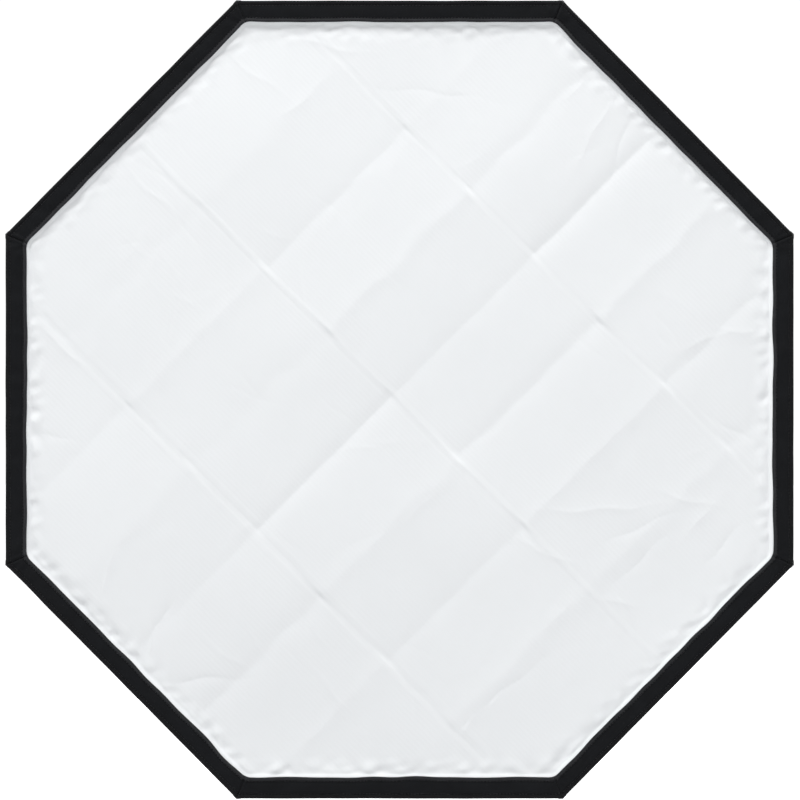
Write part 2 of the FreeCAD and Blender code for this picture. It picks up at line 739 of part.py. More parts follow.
def rib_azimuth(number):
    return HALF + STEP * (number - 1)


def check_and_export(doc, pieces):
    """Stop on any failed object or bad shape, then write one file for each piece."""
    doc.recompute()
    for item in doc.Objects:
        if "Invalid" in item.State or "Error" in item.State:
            raise RuntimeError(f"{item.Label} is {item.State}")
    for piece in pieces:
        if piece.Shape.isNull() or not piece.Shape.isValid() or not piece.Shape.Solids:
            raise RuntimeError(f"{piece.Label} has no valid solid")
    os.makedirs("parts", exist_ok=True)
    for piece in pieces:
        piece.Shape.exportStep(f"parts/{piece.Label}.step")
        print(f"{piece.Label:20s} {len(piece.Shape.Solids)} {piece.Shape.Volume / 1000:9.2f} cm3")


def main():
    doc = FreeCAD.newDocument("softbox")
    size = write_sizes(doc)
    pieces = [
        make_bayonet_ring(doc),
        make_housing(doc),
        make_hinge_pins(doc),
        make_catch_ring(doc),
        make_ring_screws(doc),
        make_collar(doc),
        make_lock_screw(doc),
        make_lock_knob(doc),
    ]
    for number in range(1, SIDES + 1):
        azimuth = rib_azimuth(number)
        for make in (make_catch, make_foot, make_rod, make_tip_cap, make_lip):
            pieces.append(make(doc, number, azimuth))
    pieces += make_cover(doc, size)
    baffle = octagon("Size.baffle_across_flats / 2")
    tape_inner = octagon(f"({DIFFUSER_APOTHEM} - Size.tape_width)")
    pieces += [
        make_sheet(
            doc,
            "front_diffuser",
            octagon(DIFFUSER_APOTHEM),
            DIFFUSER_FRONT,
            "Size.diffuser_thickness",
        ),
        make_sheet(
            doc,
            "diffuser_hook_tape",
            octagon(DIFFUSER_APOTHEM),
            TAPE_FRONT,
            "Size.tape_thickness",
            hole=tape_inner,
        ),
        make_sheet(doc, "inner_baffle", baffle, "Size.baffle_depth", "Size.baffle_thickness"),
        make_straps(doc),
    ]
    check_and_export(doc, pieces)


main()
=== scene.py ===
"""The looks of the octagonal studio softbox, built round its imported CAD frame."""

import json  # noqa: E402
import math  # noqa: E402

import bpy  # noqa: E402
import numpy as np  # noqa: E402
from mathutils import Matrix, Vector  # noqa: E402


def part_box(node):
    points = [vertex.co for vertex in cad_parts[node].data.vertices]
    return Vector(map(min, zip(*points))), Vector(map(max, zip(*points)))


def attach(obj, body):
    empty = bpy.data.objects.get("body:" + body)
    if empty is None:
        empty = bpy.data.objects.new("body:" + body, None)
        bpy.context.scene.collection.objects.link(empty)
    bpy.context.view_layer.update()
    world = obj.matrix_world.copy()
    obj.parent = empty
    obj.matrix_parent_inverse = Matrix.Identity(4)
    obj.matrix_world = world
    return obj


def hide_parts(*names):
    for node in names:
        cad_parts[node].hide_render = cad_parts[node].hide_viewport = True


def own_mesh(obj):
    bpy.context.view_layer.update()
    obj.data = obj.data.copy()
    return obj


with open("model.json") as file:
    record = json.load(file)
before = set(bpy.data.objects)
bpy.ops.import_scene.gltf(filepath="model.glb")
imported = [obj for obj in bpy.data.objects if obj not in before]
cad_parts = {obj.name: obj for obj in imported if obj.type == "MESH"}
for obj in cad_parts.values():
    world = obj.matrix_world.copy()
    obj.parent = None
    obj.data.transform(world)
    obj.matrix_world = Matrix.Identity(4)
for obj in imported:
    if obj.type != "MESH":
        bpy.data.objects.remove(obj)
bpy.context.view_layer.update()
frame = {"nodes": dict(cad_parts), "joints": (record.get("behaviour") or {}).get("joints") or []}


# ---------------------------------------------------------------- sizes, from the CAD frame
RIBS = range(1, 9)
TURN = math.pi / 8
LOW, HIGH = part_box("front_lip_1")
LIP_Y = LOW.y
APOTHEM = max(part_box(f"front_lip_{k}")[1].x for k in RIBS)
LIP_BACK = HIGH.y
LIP_WIDTH = 0.030
TALLER = 1.0127  # the photographed cloth's height over its width
TIP_RADIUS_MM = 649  # from the axis to a rib's tip, in millimetres
REAR_Y = max(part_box(f"cover_gore_{k}")[1].y for k in RIBS)
REAR_APOTHEM = 0.100
BOW = 0.030
BAFFLE_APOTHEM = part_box("inner_baffle")[1].x
BAFFLE_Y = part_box("inner_baffle")[0].y
PICTURE = 800  # pixels across the photograph
PIXEL = 1.5238e-3  # metres for each of them at the lip
CENTRE = 399.6  # the object's middle in the photograph, in pixels


def azimuth(k):
    return TURN + (k - 1) * 2 * TURN


def radial(a):
    return np.array([math.cos(a), 0.0, math.sin(a)])


def tangent(a):
    return np.array([-math.sin(a), 0.0, math.cos(a)])


def smooth(x, lo=0.0, hi=1.0):
    t = np.clip((np.asarray(x, float) - lo) / (hi - lo), 0, 1)
    return t * t * (3 - 2 * t)


def hump(x, width):
    return np.exp(-((np.asarray(x, float) / width) ** 2))


def taller(points):
    """The photographed cloth stands a little taller than it is wide, more so towards its front edge."""
    out = np.array(points, float)
    out[:, 2] *= 1 + (TALLER - 1) * np.clip(np.hypot(out[:, 0], out[:, 2]) / APOTHEM, 0, 1)
    return out


class Noise:
    """Smooth seeded noise from a few dozen plane waves."""

    def __init__(self, seed, low, high, waves=28, dims=2):
        rng = np.random.default_rng(seed)
        direction = rng.normal(size=(waves, dims))
        direction /= np.linalg.norm(direction, axis=1)[:, None]
        self.k = direction * (2 * math.pi / rng.uniform(low, high, waves))[:, None]
        self.phase = rng.uniform(0, 2 * math.pi, waves)

    def __call__(self, *coordinates):
        p = np.stack([np.asarray(c, float) for c in coordinates], -1)
        return np.sin(p @ self.k.T + self.phase).sum(-1) / math.sqrt(len(self.phase) / 2)


# ---------------------------------------------------------------- materials
class Finish:
    """A principled material, with short calls for the nodes that feed it."""

    def __init__(self, name, colour, roughness, bevel=0.0, **inputs):
        self.material = bpy.data.materials.new(name)
        self.material.use_nodes = True
        self.tree = self.material.node_tree
        self.surface = self.tree.nodes["Principled BSDF"]
        self.surface.inputs["Base Color"].default_value = (*colour, 1)
        self.surface.inputs["Roughness"].default_value = roughness
        for socket, value in inputs.items():
            self.surface.inputs[socket.replace("_", " ")].default_value = value
        self.colour = colour
        self.normal = None
        if bevel:
            self.normal = self.node("ShaderNodeBevel", Radius=bevel).outputs[0]
        self.coordinates = self.node("ShaderNodeTexCoord")

    def node(self, kind, **inputs):
        made = self.tree.nodes.new(kind)
        for socket, value in inputs.items():
            self.feed(made.inputs[socket.replace("_", " ")], value)
        return made

    def feed(self, socket, value):
        if isinstance(value, bpy.types.NodeSocket):
            self.tree.links.new(value, socket)
        else:
            socket.default_value = value

    def math(self, operation, a, b=0.0, c=0.0):
        made = self.tree.nodes.new("ShaderNodeMath")
        made.operation = operation
        for socket, value in zip(made.inputs, (a, b, c)):
            self.feed(socket, value)
        return made.outputs[0]

    def place(self, where="Object", scale=(1, 1, 1), turn=(0, 0, 0)):
        return self.node(
            "ShaderNodeMapping", Vector=self.coordinates.outputs[where], Scale=scale, Rotation=turn
        ).outputs[0]

    def noise(self, size, where="Object", detail=3.0, stretch=(1, 1, 1), rough=0.5):
        """Noise whose blobs are about size metres across."""
        made = self.node(
            "ShaderNodeTexNoise",
            Vector=self.place(where, stretch),
            Scale=1 / size,
            Detail=detail,
            Roughness=rough,
        )
        return made.outputs["Fac"]

    def spread(self, value, low, high, to_low=0.0, to_high=1.0):
        made = self.tree.nodes.new("ShaderNodeMapRange")
        for name, number in (
            ("Value", value),
            ("From Min", low),
            ("From Max", high),
            ("To Min", to_low),
            ("To Max", to_high),
        ):
            self.feed(made.inputs[name], number)
        return made.outputs[0]

    def bump(self, height, depth, strength=1.0):
        made = self.node("ShaderNodeBump", Height=height, Distance=depth, Strength=strength)
        if self.normal is not None:
            self.tree.links.new(self.normal, made.inputs["Normal"])
        self.normal = made.outputs[0]
        self.tree.links.new(self.normal, self.surface.inputs["Normal"])

    def tint(self, amount, other):
        """Mix the base colour towards another colour by a varying amount."""
        made = self.tree.nodes.new("ShaderNodeMix")
        made.data_type = "RGBA"
        self.feed(made.inputs["Factor"], amount)
        base = self.surface.inputs["Base Color"]
        if base.links:
            self.tree.links.new(base.links[0].from_socket, made.inputs["A"])
        else:
            made.inputs["A"].default_value = (*self.colour, 1)
        made.inputs["B"].default_value = (*other, 1)
        self.tree.links.new(made.outputs["Result"], base)

    def gloss(self, value, low, high):
        """Roughness that runs from low to high with a varying value."""
        rough = self.spread(value, 0.35, 0.65, low, high)
        self.tree.links.new(rough, self.surface.inputs["Roughness"])

    def threads(self, pitch, where="UV", turn=0.0, ratio=1.0):
        """The over-and-under height of a plain weave with one thread every pitch metres."""
        parts = self.node("ShaderNodeSeparateXYZ", Vector=self.place(where, turn=(0, 0, turn)))
        across = self.math("SINE", self.math("MULTIPLY", parts.outputs["X"], math.pi / pitch))
        along = self.math(
            "SINE", self.math("MULTIPLY", parts.outputs["Y"], math.pi / (pitch * ratio))
        )
        return self.math("MULTIPLY", across, along)

    def lines(self, pitch, where="UV", turn=0.0):
        """Waves from 0 to 1 every pitch metres across a direction turned about the normal."""
        parts = self.node("ShaderNodeSeparateXYZ", Vector=self.place(where, turn=(0, 0, turn)))
        wave = self.math("SINE", self.math("MULTIPLY", parts.outputs["X"], 2 * math.pi / pitch))
        return self.math("MULTIPLY_ADD", wave, 0.5, 0.5)


def cover_nylon(name, colour, pitch=0.0011, sheen=0.12, specular=0.1, creases=0.0, rough=0.64):
    cloth = Finish(
        name, colour, rough, Specular_IOR_Level=specular, Sheen_Weight=sheen, Sheen_Roughness=0.5
    )
    blotch = cloth.noise(0.05, "UV", 4.0)
    cloth.gloss(blotch, rough - 0.04, rough + 0.16)
    cloth.tint(cloth.spread(blotch, 0.42, 0.7, 0, 0.5), [c * 1.7 + 0.003 for c in colour])
    lint = cloth.spread(cloth.noise(0.0016, "UV", 1.0), 0.74, 0.78, 0, 0.28)
    cloth.tint(lint, (0.16, 0.16, 0.17))
    cloth.bump(cloth.threads(pitch), 0.00018)
    if creases:
        cloth.bump(cloth.noise(0.06, "UV", 5.0, (1, 0.45, 1), 0.6), creases)
    return cloth.material


def binding_tape(name, colour, pitch=0.0016):
    """Narrow ribbed tape: ribs across it every pitch metres."""
    tape = Finish(
        name, colour, 0.8, Specular_IOR_Level=0.1, Sheen_Weight=0.15, Sheen_Roughness=0.4
    )
    tape.tint(tape.spread(tape.noise(0.012, "UV", 3.0), 0.4, 0.7, 0, 0.5), [c * 1.6 for c in colour])
    tape.bump(tape.lines(pitch), 0.00025)
    tape.bump(tape.threads(pitch / 3), 0.0001)
    return tape.material


def white_cloth(name, colour, pitch, ribs=0.0):
    cloth = Finish(
        name, colour, 0.92, Specular_IOR_Level=0.12, Sheen_Weight=0.05, Sheen_Roughness=0.6
    )
    blotch = cloth.noise(0.11, "UV", 3.0)
    cloth.tint(cloth.spread(blotch, 0.35, 0.7, 0, 0.35), [c * 0.985 for c in colour])
    if ribs:
        line = cloth.lines(ribs, turn=-math.pi / 4)
        cloth.tint(cloth.math("MULTIPLY", line, 0.05), [c * 0.93 for c in colour])
        cloth.bump(line, 0.00003)
    cloth.bump(cloth.threads(pitch), 0.00007)
    cloth.bump(cloth.noise(0.02, "UV", 4.0), 0.00015)
    return cloth.material


def silver_lining(name):
    lining = Finish(name, (0.72, 0.73, 0.75), 0.3, Metallic=0.85)
    dimples = lining.node(
        "ShaderNodeTexVoronoi", Vector=lining.place("UV"), Scale=1 / 0.006, Randomness=0.55
    )
    lining.gloss(lining.noise(0.07, "UV", 4.0), 0.24, 0.4)
    lining.bump(lining.spread(dimples.outputs["Distance"], 0, 0.6), 0.0009)
    lining.bump(lining.noise(0.05, "UV", 4.0), 0.0025)
    return lining.material


def metal(name, colour, rough, grain, depth, brushed=1.0, bevel=0.0004, dirt=0.25):
    made = Finish(name, colour, sum(rough) / 2, bevel, Metallic=1.0)
    fine = made.noise(grain, detail=4.0, stretch=(1, brushed, 1))
    made.gloss(fine, *rough)
    made.tint(made.spread(made.noise(0.02), 0.45, 0.75, 0, dirt), [c * 0.55 for c in colour])
    made.bump(fine, depth)
    return made.material


def painted(name, colour, roughness, wear, metal_colour=(0.45, 0.45, 0.46)):
    """Powder coat: orange-peel bump, and rubbed places where the metal shows a little."""
    made = Finish(name, colour, roughness, 0.0005, Specular_IOR_Level=0.4)
    made.gloss(made.noise(0.004, detail=4.0), roughness - 0.08, roughness + 0.12)
    rubbed = made.spread(made.noise(0.011, detail=8.0, rough=0.72), 0.66, 0.7, 0, wear)
    made.tint(rubbed, metal_colour)
    made.bump(made.noise(0.0009, detail=2.0), 0.00012)
    return made.material


def moulded(name, colour, roughness, grain=0.0007, depth=0.00009, specular=0.4):
    made = Finish(name, colour, roughness, 0.0005, Specular_IOR_Level=specular)
    made.gloss(made.noise(0.015, detail=5.0), roughness - 0.07, roughness + 0.1)
    made.tint(made.spread(made.noise(0.03, detail=6.0), 0.5, 0.8, 0, 0.4), [c * 1.6 for c in colour])
    made.bump(made.noise(grain, detail=2.0), depth)
    return made.material


def webbing(name, colour, pitch=0.0018):
    made = Finish(name, colour, 0.85, Specular_IOR_Level=0.15, Sheen_Weight=0.1)
    ribs = made.lines(pitch)
    # the grooves between the ribs are painted darker than the ribs: painted shade in the grooves
    made.tint(made.spread(ribs, 0, 1, 0.25, 0), [c * 0.7 for c in colour])
    made.bump(ribs, 0.0004)
    made.bump(made.threads(pitch / 2), 0.00015)
    return made.material


def hook_material(name):
    made = Finish(name, (0.012, 0.012, 0.013), 0.75, Specular_IOR_Level=0.2)
    hooks = made.node(
        "ShaderNodeTexVoronoi", Vector=made.place("Object"), Scale=1 / 0.0016, Randomness=0.25
    )
    height = made.spread(hooks.outputs["Distance"], 0.1, 0.6, 1, 0)
    # the tops of the hooks are painted lighter than the tape: a painted highlight on the hook tips
    made.tint(made.spread(height, 0.5, 1, 0, 0.4), (0.05, 0.05, 0.055))
    made.bump(height, 0.0008)
    return made.material


OUTSIDE = cover_nylon("cover_outside", (0.0062, 0.0065, 0.0071), 0.0011, 0.1, 0.32, 0.0016, 0.5)
LIP_CLOTH = cover_nylon("lip_nylon", (0.0044, 0.0050, 0.0062), 0.0012, 0.1, 0.09, 0.0007)
PATCH = cover_nylon("patch_nylon", (0.010, 0.0103, 0.011), 0.0016, 0.14, 0.14, 0.0004)
HEM = binding_tape("lip_hem", (0.026, 0.0265, 0.029), 0.0015)
PIPING = binding_tape("seam_binding", (0.0075, 0.0078, 0.0086), 0.002)
THREAD = binding_tape("sewing_thread", (0.017, 0.017, 0.019), 0.0006)
LINING = silver_lining("silver_lining")
DIFFUSER = white_cloth("diffuser_cloth", (0.885, 0.905, 0.915), 0.0009, 0.0064)
BAFFLE = white_cloth("baffle_cloth", (0.86, 0.865, 0.865), 0.0009)
WHITE_HEM = webbing("white_hem", (0.82, 0.82, 0.82), 0.0014)
ELASTIC = webbing("elastic_webbing", (0.02, 0.02, 0.022))
CAD_LOOKS = {
    "bayonet_ring": metal("cast_aluminium", (0.40, 0.40, 0.41), (0.28, 0.46), 0.0012, 0.00012),
    "speedring_housing": painted("black_paint", (0.014, 0.014, 0.015), 0.42, 0.5),
    "catch_ring": painted("black_paint_fine", (0.02, 0.02, 0.022), 0.36, 0.35),
    "hinge_pins": metal("turned_steel", (0.55, 0.55, 0.56), (0.18, 0.34), 0.0007, 0.00004, 8.0),
    "ring_screws": metal("screw_steel", (0.5, 0.5, 0.51), (0.2, 0.36), 0.0006, 0.00005),
    "lock_screw": metal("lock_steel", (0.52, 0.52, 0.53), (0.2, 0.36), 0.0006, 0.00005),
    "lock_knob": moulded("knob_rubber", (0.016, 0.016, 0.017), 0.6, 0.0009, 0.00014, 0.3),
    "rib_foot": moulded("black_moulding", (0.022, 0.022, 0.024), 0.45),
    "rib_rod": metal("spring_steel", (0.42, 0.42, 0.43), (0.22, 0.38), 0.0008, 0.00005, 0.05),
    "rib_tip_cap": moulded("cap_rubber", (0.014, 0.014, 0.015), 0.7, 0.0008, 0.00012, 0.25),
    "rib_catch": moulded("grey_moulding", (0.16, 0.165, 0.17), 0.4, 0.0007, 0.00008),
    "diffuser_hook_tape": hook_material("hook_tape"),
}


# ---------------------------------------------------------------- mesh building
class Piece:
    """A mesh gathered from grids of points, each with its own material and cloth coordinates."""

    def __init__(self, name):
        self.name = name
        self.points, self.faces, self.cloth, self.kinds, self.normals = [], [], [], [], []
        self.materials = []
        self.count = 0
        self.own_normals = False

    def material(self, material):
        if material not in self.materials:
            self.materials.append(material)
        return self.materials.index(material)

    def add(self, points, faces, cloth, material, normals=None):
        """material is one material, or a material for each face."""
        points = np.asarray(points, float).reshape(-1, 3)
        faces = np.asarray(faces, int)
        self.points.append(points)
        self.cloth.append(np.asarray(cloth, float).reshape(-1, 2))
        self.faces += (faces + self.count).tolist()
        if isinstance(material, list):
            self.kinds += [self.material(m) for m in material]
        else:
            self.kinds += [self.material(material)] * len(faces)
        self.own_normals = self.own_normals or normals is not None
        none = np.zeros_like(points)
        self.normals.append(none if normals is None else np.asarray(normals).reshape(-1, 3))
        self.count += len(points)

    def grid(self, points, cloth, material, wrap=False, flip=False, normals=None):
        """Faces over rows and columns of points; wrap joins the last column to the first."""
        rows, columns = np.asarray(points).shape[:2]
        across = columns if wrap else columns - 1
        i, j = np.meshgrid(np.arange(rows - 1), np.arange(across), indexing="ij")
        k = (j + 1) % columns
        quads = np.stack(
            [i * columns + j, i * columns + k, (i + 1) * columns + k, (i + 1) * columns + j], -1
        ).reshape(-1, 4)
        if flip:
            quads = quads[:, ::-1]
        if isinstance(material, list):
            material = [material[c] for c in j.ravel()]
        self.add(points, quads, cloth, material, normals)

    def shell(self, outer, inner, cloth, outside, inside, edge=None, normals=None):
        """A thin closed cloth: two grids of matching points and the strip round their edge."""
        outer, inner = np.asarray(outer, float), np.asarray(inner, float)
        rows, columns = outer.shape[:2]
        opposite = None if normals is None else -normals
        self.grid(outer, cloth, outside, normals=normals)
        self.grid(inner, cloth, inside, flip=True, normals=opposite)
        size = rows * columns
        loop = [*range(columns), *range(2 * columns - 1, size, columns)]
        loop += [*range(size - 2, size - columns - 1, -1), *range(size - 2 * columns, 0, -columns)]
        flat_o, flat_i = outer.reshape(-1, 3)[loop], inner.reshape(-1, 3)[loop]
        n = len(loop)
        band = [[(a + 1) % n, a, n + a, n + (a + 1) % n] for a in range(n)]
        coordinates = np.asarray(cloth, float).reshape(-1, 2)[loop]
        middle = np.concatenate([flat_o, flat_i])
        out = None
        if normals is not None:
            centre = middle.mean(0)
            out = middle - centre
            out /= np.linalg.norm(out, axis=1)[:, None]
        self.add(middle, band, np.concatenate([coordinates] * 2), edge or outside, out)

    def stitches(self, path, normals, length=0.0036, gap=0.0014, thick=0.00045, material=None):
        """Separate thread stitches along a path of points, lying on its surface."""
        path, normals = np.asarray(path, float), np.asarray(normals, float)
        step = np.linalg.norm(np.diff(path, axis=0), axis=1)
        far = np.concatenate([[0], np.cumsum(step)])
        starts = np.arange(gap, far[-1] - length, length + gap)
        if len(starts) == 0:
            return
        along = starts[:, None] + length * np.array([0.0, 0.3, 0.7, 1.0])[None, :]
        at = np.stack([np.interp(along, far, path[:, c]) for c in range(3)], -1)
        up = np.stack([np.interp(along, far, normals[:, c]) for c in range(3)], -1)
        up /= np.linalg.norm(up, axis=-1, keepdims=True)
        ahead = at[:, -1:] - at[:, :1]
        ahead /= np.linalg.norm(ahead, axis=-1, keepdims=True)
        side = np.cross(ahead, up)
        swell = np.array([0.35, 1.0, 1.0, 0.35])[None, :, None]
        lift = at + up * thick * np.array([0.0, 1.0, 1.0, 0.0])[None, :, None]
        ring = [up, side, -up, -side]
        tube = np.stack([lift + r * thick * swell for r in ring], 2)
        total = len(starts)
        i, j, k = np.meshgrid(np.arange(total), np.arange(3), np.arange(4), indexing="ij")
        m = (k + 1) % 4
        base = i * 16 + j * 4
        quads = np.stack([base + k, base + m, base + 4 + m, base + 4 + k], -1).reshape(-1, 4)
        cloth = np.zeros((total, 4, 4, 2))
        cloth[..., 0] = along[:, :, None]
        cloth[..., 1] = np.arange(4)[None, None, :] * thick
        self.add(tube, quads[:, ::-1], cloth, material or THREAD)

    def make(self, body, replaces=(), tall=True):
        points = np.concatenate(self.points)
        if tall:
            points = taller(points)
        mesh = bpy.data.meshes.new(self.name)
        mesh.from_pydata(points.tolist(), [], self.faces)
        mesh.update()
        corner = np.zeros(len(mesh.loops), np.int32)
        mesh.loops.foreach_get("vertex_index", corner)
        layer = mesh.uv_layers.new(name="cloth")
        layer.data.foreach_set("uv", np.concatenate(self.cloth)[corner].astype(np.float32).ravel())
        for material in self.materials:
            mesh.materials.append(material)
        mesh.polygons.foreach_set("material_index", self.kinds)
        mesh.polygons.foreach_set("use_smooth", [True] * len(mesh.polygons))
        if self.own_normals:
            wanted = np.concatenate(self.normals)
            plain = np.zeros(len(mesh.vertices) * 3, np.float32)
            mesh.vertices.foreach_get("normal", plain)
            unset = np.linalg.norm(wanted, axis=1) < 0.5
            wanted[unset] = plain.reshape(-1, 3)[unset]
            mesh.normals_split_custom_set_from_vertices(wanted.tolist())
        mesh.update()
        made = bpy.data.objects.new(self.name, mesh)
        bpy.context.scene.collection.objects.link(made)
        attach(made, body)
        for node in replaces:
            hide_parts(node)
        return made


def grid_normals(points):
    """Normals of a grid of points from its neighbours on both sides."""
    along = np.gradient(points, axis=0)
    across = np.gradient(points, axis=1)
    normal = np.cross(along, across)
    return normal / np.maximum(np.linalg.norm(normal, axis=-1, keepdims=True), 1e-12)


def ring_radius(apothem, phi, corner):
    """Distance from the axis to an octagon with rounded corners, at an angle from a corner."""
    phi = np.abs(phi)
    centre = (apothem - corner) / math.cos(TURN)
    joins = np.arctan2(corner * math.sin(TURN), centre + corner * math.cos(TURN))
    straight = apothem / np.cos(TURN - phi)
    under = np.maximum(corner**2 - (centre * np.sin(phi)) ** 2, 0)
    rounded = centre * np.cos(phi) + np.sqrt(under)
    return np.where(phi < joins, rounded, straight)


def columns_from(near, far, count):
    """Angles from a rib to the mid-line between ribs, closer together near the rib."""
    u = np.concatenate([near, np.linspace(near[-1], far, count)[1:]])
    return np.concatenate([-u[::-1], u[1:]])


# ---------------------------------------------------------------- the black lip
LIP_PROFILE = [
    (30.6, 1.5), (31.5, 1.0), (31.4, 0.3), (30.6, -0.3), (29.4, -0.55), (27.9, -0.6), (26.9, -0.3),
    (26.3, 0.5), (25.2, 0.35), (22.0, -0.15), (18.5, -0.6), (15.0, -0.95), (11.5, -1.15),
    (8.5, -1.1), (6.6, -0.9), (5.7, -0.4), (5.2, -1.2), (4.2, -1.75), (2.8, -1.9), (1.4, -1.65),
    (0.3, -0.9), (-0.4, 0.3), (-0.6, 1.5), (-0.2, 2.6), (1.0, 3.9), (2.8, 6.1), (3.6, 6.0),
    (2.6, 4.2), (1.9, 2.4), (5.0, 1.1), (12.0, 1.0), (20.0, 1.2), (30.6, 1.5),
]  # millimetres in from the outer edge, and behind the lip's front face
HEM_IN, PIPED = 26.3, 5.7  # where the hem and the piping end, in millimetres in
LIP_FRONT_ROWS = 26  # profile rows up to the fold at the outer edge's back
LIP_STITCHES = ((25.5, 0.34), (6.7, -0.92))  # millimetres in and behind
LIP_CORNER, CORNER_GROWS = 0.009, 0.012  # corner radius outside, and what it gains inside
LIP_ARC = 0.63  # metres of lip cloth for each radian round the axis
LIP_DIPS = [  # picture x, y and how many millimetres the inner edge dips there
    (655, 131, 2.6), (664, 668, 2.0), (131, 138, 2.4), (300, 24, 1.5), (774, 430, 1.8),
]
lip_wave = Noise(11, 0.05, 0.16)
lip_folds = Noise(12, 0.018, 0.07)
lip_bulge = Noise(13, 0.03, 0.12, dims=3)


def photo_point(px, py):
    """A place on the photographed front, from its picture position, in metres."""
    return (px - CENTRE) * PIXEL, (CENTRE - py) * PIXEL / TALLER


def lip_edge_shift(x, z):
    """How far the inner edge wanders off its straight line, in metres."""
    shift = 0.0005 * lip_wave(x, z)
    for px, py, depth in LIP_DIPS:
        cx, cz = photo_point(px, py)
        shift = shift + 1e-3 * depth * hump(np.hypot(x - cx, z - cz), 0.013)
    return shift


def lip_point(a, phi, inward, behind):
    """A point on the lip from its rib's angle, the angle past the rib, and its profile."""
    share = np.clip(inward / LIP_WIDTH, 0, 1)
    corner = LIP_CORNER + CORNER_GROWS * share
    r = ring_radius(APOTHEM - inward, phi, corner)
    angle = a + phi
    x, z = r * np.cos(angle), r * np.sin(angle)
    outer = ring_radius(APOTHEM, phi, LIP_CORNER)
    ox, oz = outer * np.cos(angle), outer * np.sin(angle)
    toward = np.where(phi < 0, a - TURN, a + TURN)
    pull = lip_edge_shift(ox, oz) * share**1.5 - 0.0001 * lip_wave(oz, ox) * (1 - share)
    x, z = x - pull * np.cos(toward), z - pull * np.sin(toward)
    side = r * np.sin(np.abs(phi))
    band = np.clip(4 * share * (1 - share), 0, 1) * (behind < 0.0008)
    lift = 0.00045 * lip_folds(ox, oz) + 0.0004 * lip_bulge(x, z, share * 0.03)
    reach = r * np.cos(phi) - (APOTHEM - LIP_WIDTH - 0.001) / math.cos(TURN)
    bend = np.degrees(np.arctan2(r * np.sin(phi), reach + 0.006))
    rays = hump(bend - 30, 5) + 0.8 * hump(bend + 36, 5) - 0.7 * hump(bend - 50, 7)
    rays = rays - 0.6 * hump(bend + 56, 7) + 0.5 * hump(bend - 68, 6)
    lift = lift + 0.0015 * rays * hump(side, 0.030)
    lift = lift * band
    sewn = 0.0016 * hump(side, 0.0011) - 0.0008 * hump(side - 0.0036, 0.0022)
    lift = lift - sewn * (behind < 0.0006)
    return x, LIP_Y + behind - lift, z


def lip_path(a, phi, inward, behind):
    x, y, z = lip_point(a, phi, np.full_like(phi, inward), np.full_like(phi, behind))
    return np.stack([x, y, z], -1)


def make_lip(k):
    """One corner of the black lip: hem, nylon band, piping and the cloth behind."""
    a = azimuth(k)
    near = np.array([0, 0.5, 1.0, 1.6, 2.4, 3.4, 4.6, 6.0, 8, 10, 12.5, 15, 18, 21, 24.5, 28])
    phi = columns_from(near / TIP_RADIUS_MM, TURN, 82)
    profile = np.array(LIP_PROFILE) * 1e-3
    grid_phi, inward = np.meshgrid(phi, profile[:, 0], indexing="xy")
    behind = np.repeat(profile[:, 1][:, None], len(phi), 1)
    x, y, z = lip_point(a, grid_phi, inward, behind)
    points = np.stack([x, y, z], -1)
    round_it = np.concatenate([[0], np.cumsum(np.hypot(*np.diff(profile, axis=0).T))])
    cloth = np.stack([grid_phi * LIP_ARC, np.repeat(round_it[:, None], len(phi), 1)], -1)
    lip = Piece(f"lip_{k}")
    rows = profile[:, 0]
    hem = int(np.argmax(rows < HEM_IN * 1e-3 + 1e-6))
    piped = int(np.argmax(rows < PIPED * 1e-3 + 1e-6))
    lip.grid(points[: hem + 1], cloth[: hem + 1], HEM)
    lip.grid(points[hem : piped + 1], cloth[hem : piped + 1], LIP_CLOTH)
    last = LIP_FRONT_ROWS
    lip.grid(points[piped : last + 1], cloth[piped : last + 1], PIPING)
    lip.grid(points[last:], cloth[last:], LIP_CLOTH)
    front = np.array([0.0, -1.0, 0.0])
    for inward_mm, behind_mm in LIP_STITCHES:
        path = lip_path(a, phi, inward_mm * 1e-3, behind_mm * 1e-3)
        lip.stitches(path, np.repeat(front[None], len(path), 0))
    made = lip.make(f"rib_{k}", [f"front_lip_{k}"])
    return made


# ---------------------------------------------------------------- the front diffuser
RECESS, RIM = 0.0040, 0.0046  # how far the cloth drops behind the lip, and over what width
MESH_STEP, MESH_REACH = 0.0025, 0.588
FORE_HEIGHT, LONE_HEIGHT = 3.0, 2.6  # millimetres for a height of 1 in the tables
DIFFUSER_FRONT = LIP_BACK + 0.0009
BANDS = (-900, -280, 2, 276, 900)  # picture y - x where the creases down to the right cross
BACK_CREASES = [  # y - x, x from and to, sharp heights above left, middle and below right, reach
    (2, 136, 664, (0.00, 0.42, -0.12), 2.9),
    (-280, 312, 752, (0.12, -0.24, 0.16), 2.6),
    (276, 30, 486, (0.14, -0.46, 0.14), 3.6),
]
FORE_CREASES = [  # x + y, height in each band (a ridge is positive), waviness in picture units
    (276, (0.0, 0.10, -0.06, 0.0), 2.5),
    (405, (0.0, 0.16, -0.18, 0.05), 2.5),
    (533, (0.18, -0.42, 0.30, -0.32), 0.8),
    (658, (-0.40, 0.38, -0.24, 0.22), 2.6),
    (788, (-0.95, -0.42, -0.78, -0.30), 0.5),
    (918, (0.46, -0.56, 0.38, -0.50), 2.0),
    (1050, (-0.46, 0.42, -0.40, 0.36), 1.0),
    (1178, (-0.36, 0.34, 0.42, 0.10), 2.8),
    (1310, (0.0, 0.20, 0.24, 0.0), 2.5),
]
